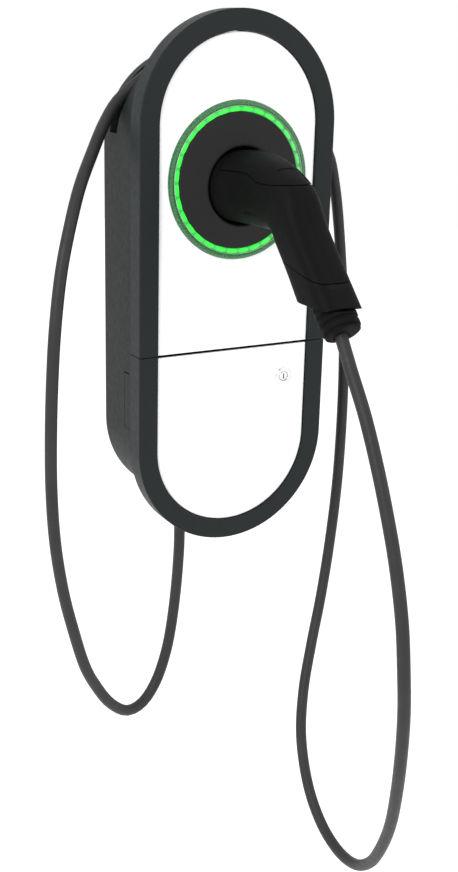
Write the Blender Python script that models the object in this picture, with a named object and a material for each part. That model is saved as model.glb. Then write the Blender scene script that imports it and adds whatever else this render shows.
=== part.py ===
"""Wall-mounted charging station with a docked connector and its hanging lead.

Metres, +Z up. The wall is the plane y = 0, the front faces -Y, and +X is to the right seen from the front.
The origin is the centre of the wall bracket's back face, level with the middle of the front bezel.
"""
from math import cos, pi, radians, sin, sqrt

import bmesh
import bpy
from mathutils import Matrix, Vector

MM = 0.001
GAP = 0.3                  # clearance between neighbouring pieces, mm

# Driving sizes, in millimetres
WIDTH = 241.0              # front bezel, outside
HEIGHT = 600.0
FRONT = -128.0             # y of the bezel's front face
BEZEL_FACE = 22.8          # width of the bezel's front face
BEZEL_WALL = 3.0
BEZEL_DEPTH = 24.0
EDGE = 1.6                 # rounding of the bezel's outer front edge
RECESS = 3.8               # how far the panels lie behind the bezel's front
PANEL = 3.0                # thickness of the front panels
PANEL_CLEARANCE = 0.8      # between a panel's edge and the bezel
SEAM = -67.7               # z of the joint between the upper front and the lower cover
BEZEL_SEAM = 1.0           # gap there between the two bezels
PANEL_SEAM = 3.4           # gap there between the two panels
HOUSING_WIDTH = 216.0
HOUSING_HEIGHT = 536.0
HOUSING_LIFT = -9.0        # z of the housing's middle
HOUSING_RIM = -102.6       # y of the housing's front rim
TOP_CENTRE = HOUSING_LIFT + (HOUSING_HEIGHT - HOUSING_WIDTH) / 2
CHANNEL_Y = (-37.5, -19.0) # the groove over the top that the lead lies in
CHANNEL_FLOOR = 87.0       # radius of the groove's floor
RING_Z = 120.6             # centre of the light ring
RING_R = 86.0
DISC_R = 73.7
BORE_Z = 116.0             # axis of the holster and of the connector's nose
BORE_R = 42.5
NOSE_R = 40.5
LOCK = (67.4, -108.4)      # x, z of the lock
GLAND = (-33.0, -58.0)     # x, y of the lead's gland
SUPPLY = (38.0, -58.0)     # x, y of the blanked supply entry
CORD = 13.6                # lead diameter
ARC_STEPS = 16             # segments in each half-round end

# Centre line of the lead, from the gland to the boot, chosen by hand
ROUTE = [(-33, -58, -304.5), (-33.5, -58, -340), (-37, -57.5, -394), (-44, -58, -447), (-53, -60, -482),
         (-68, -65, -512), (-90, -73, -531), (-116, -82, -531), (-142, -90, -509), (-163, -97, -477),
         (-180, -103, -442), (-196, -108, -388), (-209, -112, -334), (-219, -117, -272), (-224, -122, -206),
         (-225, -127, -136), (-222, -129, -63), (-216, -126, -11), (-206, -118, 35), (-191, -106, 78),
         (-172, -88, 116), (-148, -66, 149), (-125, -44, 176), (-103, -30, 199), (-82, -28, 216),
         (-58, -28, 233), (-30, -28, 244.5), (0, -28, 249), (32, -28, 243.5), (64, -28, 229), (100, -28, 208),
         (136, -28, 184), (165, -28, 157), (182, -28, 133), (190, -30, 102), (195, -34, 64), (200, -40, 2),
         (204, -48, -79), (202, -57, -170), (194, -67, -270), (180, -78, -352), (160, -93, -424),
         (136, -111, -485), (114, -131, -537), (100, -152, -590), (94, -182, -642), (92, -219, -676),
         (92, -259, -691), (91, -297, -685), (85, -333, -656), (72, -368, -609), (56, -402, -551),
         (37, -432, -487), (19, -457, -421), (7, -471, -360), (1, -473, -310), (0, -466, -262),
         (0, -451, -212), (0, -434, -170), (0, -411, -122), (0, -385, -76), (0, -358, -38), (0, -337.5, -7.8)]
LEAD_SPLIT = -500.0        # z on the right strand where the moving length of the lead begins

# Side profile of the connector's head and handle: y, z, tilt of the path below level in degrees,
# half width, half depth and squareness. The path starts at the nose and runs forward and down.
HANDLE = [(-108, 116, 0, 40.5, 38.5, 2.2), (-134, 116, 0, 40.5, 38.5, 2.2), (-142, 116.5, 0, 38, 38.8, 2.2),
          (-160, 117.5, 2, 31, 39, 2.5), (-185, 117, 8, 27, 38.5, 2.6), (-212, 112, 20, 25.5, 35.5, 2.7),
          (-238, 104, 34, 24.4, 29.2, 3.0), (-257, 81, 46, 24, 23.6, 3.8), (-285, 50.5, 48, 24, 23, 4.0),
          (-325.1, 5.9, 48, 24.6, 25, 4.0)]
BOOT_TILT = 48
END_JOINT = [(-225, 63.1), (-345, 39.3)]  # y, z of the joint between the shells and the end collar
COLLAR_BOTTOM = 20.0       # z
BOOT_END = 78.0            # distance of the boot's end from the last bend, along the handle
BOOT_SHIFT = 5.0           # the boot's ribs are this far off the lead's line

# Path of the joint between the connector's top cover and its shells, seen from the side: y, z
COVER_LINE = [(-141, 134.5), (-172, 135.5), (-188, 134.5), (-204, 128.5), (-222, 127.6), (-278, 132)]
LATCH_PIVOT = (-165.0, 145.5)


# ---------------------------------------------------------------- tools

def clear_scene():
    for item in list(bpy.data.objects):
        bpy.data.objects.remove(item, do_unlink=True)


def material(name, colour, roughness, metallic=0.0):
    made = bpy.data.materials.new(name)
    made.use_nodes = True
    shader = made.node_tree.nodes["Principled BSDF"]
    shader.inputs["Base Color"].default_value = (*colour, 1.0)
    shader.inputs["Roughness"].default_value = roughness
    shader.inputs["Metallic"].default_value = metallic
    return made


def place(bm, name, finish, origin=(0, 0, 0), hidden=False):
    """Turn a bmesh in millimetres into a named object, with its origin on a joint's axis where it moves."""
    bmesh.ops.recalc_face_normals(bm, faces=bm.faces)
    bmesh.ops.translate(bm, verts=bm.verts, vec=-Vector(origin))
    bmesh.ops.scale(bm, verts=bm.verts, vec=(MM, MM, MM))
    mesh = bpy.data.meshes.new(name)
    bm.to_mesh(mesh)
    bm.free()
    mesh.shade_smooth()
    mesh.set_sharp_from_angle(angle=radians(35))
    made = bpy.data.objects.new(name, mesh)
    made.location = Vector(origin) * MM
    bpy.context.collection.objects.link(made)
    if finish:
        mesh.materials.append(finish)
    if hidden:
        made.hide_render = True
        made.display_type = "WIRE"
    return made


def skin(name, loops, finish, closed=False, **options):
    """Join a row of point loops with quads; the ends are capped, or joined to each other when closed."""
    bm = bmesh.new()
    rows = [[bm.verts.new(point) for point in loop] for loop in loops]
    pairs = list(zip(rows, rows[1:]))
    if closed:
        pairs.append((rows[-1], rows[0]))
    for first, second in pairs:
        for i in range(len(first)):
            bm.faces.new((first[i - 1], first[i], second[i], second[i - 1]))
    if not closed:
        bm.faces.new(rows[0])
        bm.faces.new(rows[-1])
    return place(bm, name, finish, **options)


def stadium(width, height, y, lift=0.0):
    """Points round a shape with straight sides and half-round ends."""
    radius = width / 2
    centre = height / 2 - radius
    points = []
    for side, start in ((1, 0.0), (-1, pi)):
        for step in range(ARC_STEPS + 1):
            angle = start + pi * step / ARC_STEPS
            points.append(Vector((radius * cos(angle), y, lift + side * centre + radius * sin(angle))))
    return points


def inset_stadium(width, height, profile, lift=0.0):
    """One stadium loop for each (inset, y) of a wall's profile."""
    return [stadium(width - 2 * inset, height - 2 * inset, y, lift) for inset, y in profile]


def circle(radius, centre, axis="Y", steps=32):
    """Points round a circle about a centre (x, y, z) on an axis."""
    points = []
    for step in range(steps):
        a, b = radius * cos(2 * pi * step / steps), radius * sin(2 * pi * step / steps)
        offset = {"X": (0, a, b), "Y": (a, 0, b), "Z": (a, b, 0)}[axis]
        points.append(Vector(centre) + Vector(offset))
    return points


def turned(name, profile, centre, finish, axis="Y", steps=32, closed=False, **options):
    """Turn (radius, place along the axis) about an axis through a centre given by its other two values."""
    loops = []
    for radius, along in profile:
        point = {"X": (along, *centre), "Y": (centre[0], along, centre[1]), "Z": (*centre, along)}[axis]
        loops.append(circle(radius, point, axis, steps))
    return skin(name, loops, finish, closed, **options)


def box(name, low, high, finish, bevel=0.0, **options):
    bm = bmesh.new()
    bmesh.ops.create_cube(bm, size=1.0)
    size = Vector(high) - Vector(low)
    bmesh.ops.scale(bm, verts=bm.verts, vec=size)
    bmesh.ops.translate(bm, verts=bm.verts, vec=(Vector(high) + Vector(low)) / 2)
    if bevel:
        bmesh.ops.bevel(bm, geom=bm.edges, offset=bevel, affect="EDGES", segments=1, profile=0.5, material=-1)
    return place(bm, name, finish, **options)


def extruded(name, outline, low, high, finish, axis="X", **options):
    """Extrude a flat outline: (y, z) points along X, (x, z) along Y or (x, y) along Z."""
    place_point = {"X": lambda a, b, t: (t, a, b), "Y": lambda a, b, t: (a, t, b), "Z": lambda a, b, t: (a, b, t)}
    loops = [[Vector(place_point[axis](a, b, t)) for a, b in outline] for t in (low, high)]
    return skin(name, loops, finish, **options)


def boolean(target, operation, *tools):
    for tool in tools:
        step = target.modifiers.new(operation.title(), "BOOLEAN")
        step.operation = operation
        step.solver = "EXACT"
        step.object = tool
        tool.hide_render = True
        tool.display_type = "WIRE"
    return target


def cut(target, *tools):
    return boolean(target, "DIFFERENCE", *tools)


def fuse(target, *tools):
    return boolean(target, "UNION", *tools)


def cutter_box(name, low, high):
    return box(name, low, high, None, hidden=True)


def cutter_rod(name, radius, low, high, centre, axis="Y", steps=24):
    return turned(name, [(radius, low), (radius, high)], centre, None, axis=axis, steps=steps, hidden=True)


# ---------------------------------------------------------------- housing

def make_bracket(steel):
    plate = box("wall_bracket", (-70, -2.5, -190), (70, 0, 190), steel, bevel=0.4)
    for side in (-1, 1):
        neck = cutter_box(f"hook_neck_{side}", (side * 46 - 7, -11.0, 150), (side * 46 + 7, -1.0, 152.5))
        lip = cutter_box(f"hook_lip_{side}", (side * 46 - 7, -11.0, 150), (side * 46 + 7, -8.6, 164))
        fuse(plate, neck, lip)
        for height in (-160, 172):
            hole = cutter_rod(f"wall_hole_{side}_{height}", 3.2, -6, 4, (side * 52, height), steps=16)
            cut(plate, hole)
    return plate


def make_housing(shell_grey):
    wall = [(1.5, -3.3), (0, -4.8), (0, HOUSING_RIM), (3, HOUSING_RIM), (3, -41), (24, -41), (24, -6.5)]
    housing = skin("rear_housing", inset_stadium(HOUSING_WIDTH, HOUSING_HEIGHT, wall, HOUSING_LIFT),
                   shell_grey)
    groove = []
    for step in range(ARC_STEPS + 1):
        angle = radians(8 + 164 * step / ARC_STEPS)
        corners = [(CHANNEL_FLOOR, CHANNEL_Y[0]), (125, CHANNEL_Y[0]), (125, CHANNEL_Y[1]), (CHANNEL_FLOOR, CHANNEL_Y[1])]
        groove.append([Vector((r * cos(angle), y, TOP_CENTRE + r * sin(angle))) for r, y in corners])
    cut(housing, skin("cord_groove", groove, None, hidden=True))
    for name, (x, y) in (("gland", GLAND), ("supply", SUPPLY)):
        boss = turned(f"{name}_boss", [(16.4, -279), (16.4, -246)], (x, y), None, axis="Z", steps=24, hidden=True)
        fuse(housing, boss)
        cut(housing, cutter_rod(f"{name}_hole", 10.3, -300, -235, (x, y), axis="Z"))
    for side in (-1, 1):
        cut(housing, cutter_box(f"hook_slot_{side}", (side * 46 - 8, -8, 148), (side * 46 + 8, -1, 168)))
    cut(housing, cutter_box("strip_recess", (-112, -72.3, -166.3), (-106.2, -59.7, -99.2)))
    cut(housing, cutter_rod("side_screw_hole", 2.3, -120, -95, (-66, -146), axis="X", steps=16))
    return housing


def make_side_cover(shell_grey, steel):
    box("side_strip", (-107.9, -72, -166), (-106.5, -60, -100.9), shell_grey, bevel=0.3)
    turned("side_screw", [(2, -106.1), (2, -94)], (-66, -146), steel, axis="X", steps=12)


def make_front_frame(grey, rubber):
    rim = inset_stadium(WIDTH, HEIGHT, [(3.6, -104.3), (3.6, -107.0), (23, -107.0), (23, -104.3)])
    frame = skin("front_frame", rim, grey, closed=True)
    fuse(frame, cutter_box("cross_bar", (-99, -106.9, -84), (99, -104.4, -52)))
    seal = [(0.6, -104.0), (0.6, -102.9), (2.6, -102.9), (2.6, -104.0)]
    skin("housing_seal", inset_stadium(HOUSING_WIDTH, HOUSING_HEIGHT, seal, HOUSING_LIFT), rubber, closed=True)


def bezel_profile():
    rear, edge = FRONT + BEZEL_DEPTH, EDGE * (1 - sqrt(0.5))
    lip = BEZEL_FACE
    return [(0, rear), (0, FRONT + EDGE), (edge, FRONT + edge), (EDGE, FRONT), (lip - 0.8, FRONT),
            (lip, FRONT + 0.8), (lip, FRONT + RECESS + PANEL + 4), (lip - BEZEL_WALL, FRONT + RECESS + PANEL + 4),
            (lip - BEZEL_WALL, FRONT + BEZEL_WALL), (BEZEL_WALL, FRONT + BEZEL_WALL), (BEZEL_WALL, rear)]


def make_fronts(bezel_grey, white):
    """The bezel and the white panel, each in an upper and a lower piece that meet at the seam."""
    panel_inset = BEZEL_FACE + PANEL_CLEARANCE
    panel_profile = [(panel_inset, FRONT + RECESS), (panel_inset, FRONT + RECESS + PANEL)]
    for part, profile, finish, seam_gap in (("bezel", bezel_profile(), bezel_grey, BEZEL_SEAM),
                                            ("panel", panel_profile, white, PANEL_SEAM)):
        joint_top = SEAM + BEZEL_SEAM / 2
        for half, low, high in (("upper", joint_top, HEIGHT), ("lower", -HEIGHT, joint_top - seam_gap)):
            piece = skin(f"{half}_{part}", inset_stadium(WIDTH, HEIGHT, profile), finish, closed=part == "bezel")
            keep = cutter_box(f"{half}_{part}_zone", (-WIDTH, FRONT - 12, low), (WIDTH, FRONT + 38, high))
            boolean(piece, "INTERSECT", keep)
    cut(bpy.data.objects["upper_panel"], cutter_rod("ring_hole", RING_R + GAP, -135, -110, (0, RING_Z), steps=40))
    cut(bpy.data.objects["lower_panel"], cutter_rod("lock_hole", 8.4, -135, -110, LOCK, steps=24))


# ---------------------------------------------------------------- light ring and holster

def make_ring(guide, line, glow, board):
    turned("ring_outer", [(80.7, -115), (80.7, -127.2), (82.0, -127.8), (85.0, -127.4), (RING_R, -126.2), (RING_R, -115)],
           (0, RING_Z), guide, steps=40, closed=True)
    turned("ring_line", [(79.7, -115), (79.7, -127.9), (80.4, -127.9), (80.4, -115)],
           (0, RING_Z), line, steps=40, closed=True)
    turned("led_ring", [(74.1, -115), (74.1, -126.6), (76.5, -127.4), (79.4, -127.2), (79.4, -115)],
           (0, RING_Z), glow, steps=40, closed=True)
    turned("led_board", [(73, -114.7), (85.5, -114.7), (85.5, -113.1), (73, -113.1)],
           (0, RING_Z), board, steps=32, closed=True)


def make_holster(black):
    """The dished disc round the connector, and the cup behind it that takes the nose."""
    def off_centre(radius, y, z):
        return circle(radius, (0, y, z), steps=36)
    face = [off_centre(DISC_R, -117, RING_Z), off_centre(DISC_R, -126.6, RING_Z), off_centre(71, -127.4, RING_Z),
            off_centre(47, -134.6, 117.3), off_centre(44.8, -135.6, 116.3), off_centre(BORE_R, -134.6, BORE_Z),
            off_centre(BORE_R, -120, BORE_Z), off_centre(45.5, -120, BORE_Z), off_centre(45.7, -131.0, 116.4),
            off_centre(70, -124.0, 120.2), off_centre(70.7, -117, RING_Z)]
    skin("holster_disc", face, black, closed=True)
    cup = turned("holster_cup", [(24.5, -68), (24.5, -106), (BORE_R, -106), (BORE_R, -119.7), (46, -119.7),
                                 (46, -103), (28, -103), (28, -64)], (0, BORE_Z), black, steps=28)
    cut(cup, cutter_box("latch_slot", (-20, -109, 136), (20, -100, 170)))


# ---------------------------------------------------------------- inside the housing

def make_electrics(finishes):
    board, dark, pale, metal, copper = finishes
    box("control_board", (-70, -56, 10), (70, -54.4, 215), board)
    box("rfid_board", (-30, -118, 212), (30, -116.6, 262), board)
    box("power_relay", (-62, -98, -44), (-8, -44, 4), dark, bevel=1.0)
    box("power_supply", (8, -92, -44), (70, -52, 4), pale, bevel=1.0)
    turned("current_sensor", [(9, -92), (18, -92), (18, -78), (9, -78)], (-58, -72), dark, steps=20, closed=True)
    rail = [(-17.5, -18), (17.5, -18), (17.5, -19), (13, -19), (13, -25), (17.5, -25), (17.5, -26), (12, -26),
            (12, -19.2), (-12, -19.2), (-12, -26), (-17.5, -26), (-17.5, -25), (-13, -25), (-13, -19), (-17.5, -19)]
    extruded("din_rail", [(y, z - 145) for z, y in rail], -60, 60, metal)
    box("terminal_block", (-50, -70, -226), (30, -34, -196), pale, bevel=0.8)
    box("earth_bar", (40, -60, -226), (72, -52, -216), copper, bevel=0.6)


def make_breaker(pale, dark, orange):
    body = box("breaker_body", (-18, -80, -190), (18, -27, -100), pale, bevel=0.8)
    fuse(body, cutter_box("breaker_nose", (-17.9, -92, -165), (17.9, -75, -125)))
    cut(body, cutter_box("toggle_slot", (-12.3, -95, -156), (1.3, -82, -134)))
    cut(body, cutter_rod("test_bore", 2.6, -95, -84, (10, -145), steps=16))
    pivot = Vector((-5.5, -86, -145))
    toggle = turned("breaker_toggle", [(3.2, -11.8), (3.2, 0.8)], (-86, -145), dark, axis="X", steps=16, origin=pivot)
    paddle = box("paddle", (-11.5, -100, -146.6), (0.5, -86, -143.4), None, origin=pivot, hidden=True)
    paddle.rotation_euler = (radians(-30), 0, 0)
    fuse(toggle, paddle)
    turned("test_button", [(2.2, -94), (2.2, -86.2)], (10, -145), orange, steps=16, origin=(10, -94, -145))


def make_inner_cover(grey):
    opening = [(x, z) for x, z in ((-92, -92), (92, -92), (92, -190), (60, -248), (-60, -248), (-92, -190))]
    cover = extruded("inner_cover", opening, -89, -87, grey, axis="Y")
    cut(cover, cutter_box("breaker_window", (-18.6, -95, -165.6), (18.6, -80, -124.4)))


def make_entries(black, rubber, metal):
    x, y = GLAND
    turned("gland_body", [(8.3, -234), (8.3, -284), (15.5, -284), (15.5, -279.3), (10, -279.3), (10, -234)],
           GLAND, black, axis="Z", steps=24, closed=True)
    turned("gland_nut", [(11.9, -245.6), (15.5, -245.6), (15.5, -239), (11.9, -239)], GLAND, black, axis="Z", steps=6,
           closed=True)
    turned("gland_seal", [(7.1, -304.5), (7.1, -284.3), (14, -284.3), (14, -287), (9.0, -304.5)], GLAND, rubber,
           axis="Z", steps=24, closed=True)
    box("cord_clamp", (x - 14, y - 9, -233.5), (x + 14, y + 9, -228), metal, bevel=0.6)
    turned("supply_plug", [(9.9, -262), (9.9, -279.3), (14, -279.3), (14, -284)], SUPPLY, black, axis="Z", steps=24)


# ---------------------------------------------------------------- lower cover and its lock

def make_lock(chrome, steel):
    x, z = LOCK
    turned("lock_body", [(5.6, -103), (5.6, -126.2), (9.6, -126.2), (10.5, -125.4), (10.5, -124.5), (8.1, -124.5),
                         (8.1, -103)], LOCK, chrome, steps=32, closed=True)
    turned("lock_nut", [(9.8, -120.9), (13, -120.9), (13, -116.5), (9.8, -116.5)], LOCK, steel, steps=6, closed=True)
    plug = turned("lock_plug", [(5.3, -125.9), (5.3, -101), (2.9, -101), (2.9, -94.5)], LOCK, chrome, steps=24,
                  origin=(x, -125.9, z))
    cut(plug, cutter_box("key_slot", (x - 0.7, -128, z - 3.2), (x + 0.7, -121, z + 3.2)))
    outline = [(x - 6, z + 6), (x - 6, z - 22), (x - 3, z - 30), (x + 3, z - 30), (x + 6, z - 22), (x + 6, z + 6)]
    cam = extruded("lock_cam", outline, -98, -96, steel, axis="Y", origin=(x, -97, z))
    cut(cam, cutter_rod("cam_hole", 3.2, -100, -94, LOCK, steps=16))
    keeper = [(86, -101), (104.7, -101), (104.7, -84), (102.7, -84), (102.7, -99), (86, -99)]
    extruded("lock_strike", keeper, z - 8, z + 8, steel, axis="Z")


# ---------------------------------------------------------------- connector

def section(y, z, tilt, half_width, half_depth, squareness=2.0, steps=20):
    """Points round a rounded-square section across the handle's path."""
    up = Vector((0, -sin(radians(tilt)), cos(radians(tilt))))
    points = []
    for step in range(steps):
        c, s = cos(2 * pi * step / steps), sin(2 * pi * step / steps)
        a = half_width * abs(c) ** (2 / squareness) * (1 if c >= 0 else -1)
        b = half_depth * abs(s) ** (2 / squareness) * (1 if s >= 0 else -1)
        points.append(Vector((a, y, z)) + up * b)
    return points


def along_boot(distance):
    """A place on the straight axis that leaves the handle's end: y, z."""
    y, z = HANDLE[-2][:2]
    return (y - distance * cos(radians(BOOT_TILT)), z - distance * sin(radians(BOOT_TILT)))


def handle_loft(name, inset, finish=None, first=0.0, last=0.0, hidden=True):
    """The head and handle as one solid, shrunk by an inset; its ends can be moved along the path."""
    loops = []
    for index, (y, z, tilt, half_width, half_depth, squareness) in enumerate(HANDLE):
        shift = first if index == 0 else (-last if index == len(HANDLE) - 1 else 0.0)
        y, z = y - shift * cos(radians(tilt)), z - shift * sin(radians(tilt))
        loops.append(section(y, z, tilt, half_width - inset, half_depth - inset, squareness))
    return skin(name, loops, finish, hidden=hidden)


def make_connector_shells(black):
    """Two moulded halves and a top cover, cut from one hollow handle."""
    body = handle_loft("handle_solid", 0.0)
    hollow = handle_loft("handle_hollow", 3.0, first=3.0, last=-6.0)
    bosses = []
    holes = []
    for index, (y, z) in enumerate(((-238, 82), (-272, 63)), 1):
        bosses.append(cutter_rod(f"screw_boss_{index}", 5.0, -22.6, 22.6, (y, z), axis="X", steps=16))
        holes.append(cutter_rod(f"screw_hole_{index}", 1.8, -12.5, 30, (y, z), axis="X", steps=12))
        holes.append(cutter_rod(f"head_pocket_{index}", 3.5, 19.6, 30, (y, z), axis="X", steps=16))
    cut(body, hollow)
    fuse(body, *bosses)
    cut(body, *holes)
    cut(body, cutter_rod("barrel_hole", 22.3, -118, -100, (0, BORE_Z), steps=32))
    cut(body, cutter_box("hook_opening", (-5, -118, 141.3), (5, -100, 152.3)))
    region = COVER_LINE + [(COVER_LINE[-1][0], 180), (COVER_LINE[0][0], 180)]
    cover_zone = extruded("cover_zone", region, -45, 45, None, hidden=True)
    inner = [(y - 0.3 if index == 0 else y, z + GAP) for index, (y, z) in enumerate(COVER_LINE)]
    inner += [(COVER_LINE[-1][0], 180), (COVER_LINE[0][0] - 0.3, 180)]
    cover_keep = extruded("cover_keep", inner, -45, 45, None, hidden=True)
    button_pocket = cutter_box("button_pocket", (-13.2, -245.2, 118), (13.2, -225, 180))

    cover = handle_loft("conn_latch_cover", 0.0, black, hidden=False)
    cut(cover, hollow)
    boolean(cover, "INTERSECT", cut(cover_keep, button_pocket))
    y, z = LATCH_PIVOT
    for side in (-1, 1):
        inner_x, outer_x = sorted((side * 5.0, side * 8.0))
        fuse(cover, cutter_box(f"pivot_lug_{side}", (inner_x, y - 5, z - 4), (outer_x, y + 5, 154.6)))
    cut(cover, cutter_rod("pivot_hole", 2.3, -12, 12, LATCH_PIVOT, axis="X", steps=16))

    (y1, z1), (y2, z2) = END_JOINT
    end_zone = extruded("end_zone", [(y1, z1), (y2, z2), (y2, -40), (y1, -40)], -45, 45, None, hidden=True)
    cut(body, cover_zone, button_pocket, end_zone)
    collar = handle_loft("conn_end_collar", 0.0, black, hidden=False)
    cut(collar, hollow)
    keep = [(y1, z1 - GAP), (y2, z2 - GAP), (y2, COLLAR_BOTTOM), (y1, COLLAR_BOTTOM)]
    boolean(collar, "INTERSECT", extruded("collar_zone", keep, -45, 45, None, hidden=True))
    for name, low, high in (("conn_shell_left", -50, -0.15), ("conn_shell_right", 0.15, 50)):
        half = box(name, (low, -320, 0), (high, -100, 180), black)
        boolean(half, "INTERSECT", body)


def make_connector_core(black, metal, steel):
    barrel = turned("conn_barrel", [(22, -71), (22, -150)], (0, BORE_Z), black, steps=24)
    places = [(-8.5, 124), (8.5, 124), (0, 106), (-12.5, 109), (12.5, 109)]
    for index, (x, z) in enumerate(places, 1):
        radius = 3.0 if index <= 3 else 2.0
        cut(barrel, cutter_rod(f"contact_bore_{index}", radius + GAP, -110, -60, (x, z), steps=12))
        turned(f"conn_contact_{index}", [(radius - 1, -78), (radius, -78), (radius, -109.5), (radius - 1, -109.5)],
               (x, z), metal, steps=12, closed=True)
    box("conn_core", (-12, -214, 98), (12, -150.3, 126), black, bevel=1.0)
    for index, (y, z) in enumerate(((-238, 82), (-272, 63)), 1):
        turned(f"conn_screw_{index}", [(1.5, -12), (1.5, 19.9), (3.1, 19.9), (2.8, 21.6)], (y, z), steel, axis="X",
               steps=12)


def make_latch(black, steel):
    """The rocking lever with its hook and thumb button, its pin and its return spring."""
    y, z = LATCH_PIVOT
    pivot = Vector((0, y, z))
    outline = [(-97, 144.9), (-97, 149.6), (-100, 149.6), (-103, 147.4), (-196, 147.4), (-232, 138.5),
               (-232, 134.5), (-196, 143.5), (-106, 143.5), (-104, 144.9)]
    lever = extruded("latch_lever", outline, -3.5, 3.5, black, origin=pivot)
    fuse(lever, turned("pivot_boss", [(4.5, -3.4), (4.5, 3.4)], LATCH_PIVOT, None, axis="X", steps=20, hidden=True))
    cut(lever, cutter_rod("lever_hole", 2.3, -6, 6, LATCH_PIVOT, axis="X", steps=16))
    turned("latch_pin", [(2.0, -9.0), (2.0, 9.0)], LATCH_PIVOT, steel, axis="X", steps=12)

    button = handle_loft("thumb_button", 0.6, black, hidden=False)
    boolean(button, "INTERSECT", cutter_box("button_zone", (-12.6, -244, 131), (12.6, -226, 180)))
    cut(button, cutter_box("lever_notch", (-3.8, -232.4, 125), (3.8, -220, 140.3)))

    turns, radius, low, high = 4, 4.0, 127.4, 138.4
    steps = 10 * turns
    points = [(radius * cos(2 * pi * k / 10), -206 + radius * sin(2 * pi * k / 10), low + (high - low) * k / steps)
              for k in range(steps + 1)]
    tube("latch_spring", points, 1.0, steel, resolution=1)


def make_boot(rubber):
    """The ribbed boot, cut off level with the collar's bottom."""
    loops = []
    for index in range(5):
        outer, base = 21.2 - 0.3 * index, 30 + 9.4 * index
        for distance, radius in ((base, outer), (base + 6.4, outer), (base + 7.4, outer - 2.2), (base + 8.6, outer - 2.2)):
            loops.append((distance, radius, BOOT_SHIFT))
    loops += [(BOOT_END, 17.5, BOOT_SHIFT), (BOOT_END, CORD / 2 + GAP, 0), (30, CORD / 2 + GAP, 0)]
    tilt = radians(BOOT_TILT)
    skins = []
    for distance, radius, shift in loops:
        y, z = along_boot(distance)
        skins.append(section(y - shift * sin(tilt), z + shift * cos(tilt), BOOT_TILT, radius, radius, steps=16))
    boot = skin("conn_boot", skins, rubber, closed=True)
    below = cutter_box("boot_zone", (-45, -420, -90), (45, -200, COLLAR_BOTTOM - GAP))
    boolean(boot, "INTERSECT", below)


# ---------------------------------------------------------------- lead

def smooth_route(points, spacing):
    """Evenly spaced points on a Catmull-Rom curve through the route's own points."""
    route = [Vector(p) for p in points]
    route = [2 * route[0] - route[1]] + route + [2 * route[-1] - route[-2]]
    dense = []
    for p0, p1, p2, p3 in zip(route, route[1:], route[2:], route[3:]):
        for step in range(24):
            t = step / 24
            dense.append(0.5 * (2 * p1 + (p2 - p0) * t + (2 * p0 - 5 * p1 + 4 * p2 - p3) * t * t
                                + (3 * p1 - p0 - 3 * p2 + p3) * t ** 3))
    dense.append(route[-2])
    lengths = [0.0]
    for a, b in zip(dense, dense[1:]):
        lengths.append(lengths[-1] + (b - a).length)
    count = max(2, round(lengths[-1] / spacing))
    picked, index = [], 0
    for step in range(count + 1):
        target = lengths[-1] * step / count
        while index < len(lengths) - 2 and lengths[index + 1] < target:
            index += 1
        share = (target - lengths[index]) / (lengths[index + 1] - lengths[index])
        picked.append(dense[index].lerp(dense[index + 1], share))
    return picked


def tube(name, points, radius, finish, resolution=2):
    curve = bpy.data.curves.new(name, "CURVE")
    curve.dimensions = "3D"
    curve.bevel_depth = radius * MM
    curve.bevel_resolution = resolution
    curve.use_fill_caps = True
    curve.render_resolution_u = 0
    spline = curve.splines.new("POLY")
    spline.points.add(len(points) - 1)
    for slot, point in zip(spline.points, points):
        slot.co = (*(Vector(point) * MM), 1.0)
    made = bpy.data.objects.new(name, curve)
    curve.materials.append(finish)
    bpy.context.collection.objects.link(made)
    return made


def trimmed(points, start=0.0, end=0.0):
    """Shorten a list of points a little at its ends, to leave a gap."""
    points = [Vector(p) for p in points]
    points[0] += (points[1] - points[0]).normalized() * start
    points[-1] += (points[-2] - points[-1]).normalized() * end
    return points


def make_lead(rubber):
    """The lead in two lengths, because its end moves with the connector."""
    points = smooth_route(ROUTE, 38)
    last_half = range(len(points) // 2, len(points))
    split = next(i for i in last_half if points[i].z < LEAD_SPLIT)
    tube("cable_rear", trimmed(points[:split + 1], start=GAP, end=GAP), CORD / 2, rubber)
    tube("cable_front", trimmed(points[split:], start=GAP, end=GAP), CORD / 2, rubber)


# ---------------------------------------------------------------- the whole station

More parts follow.
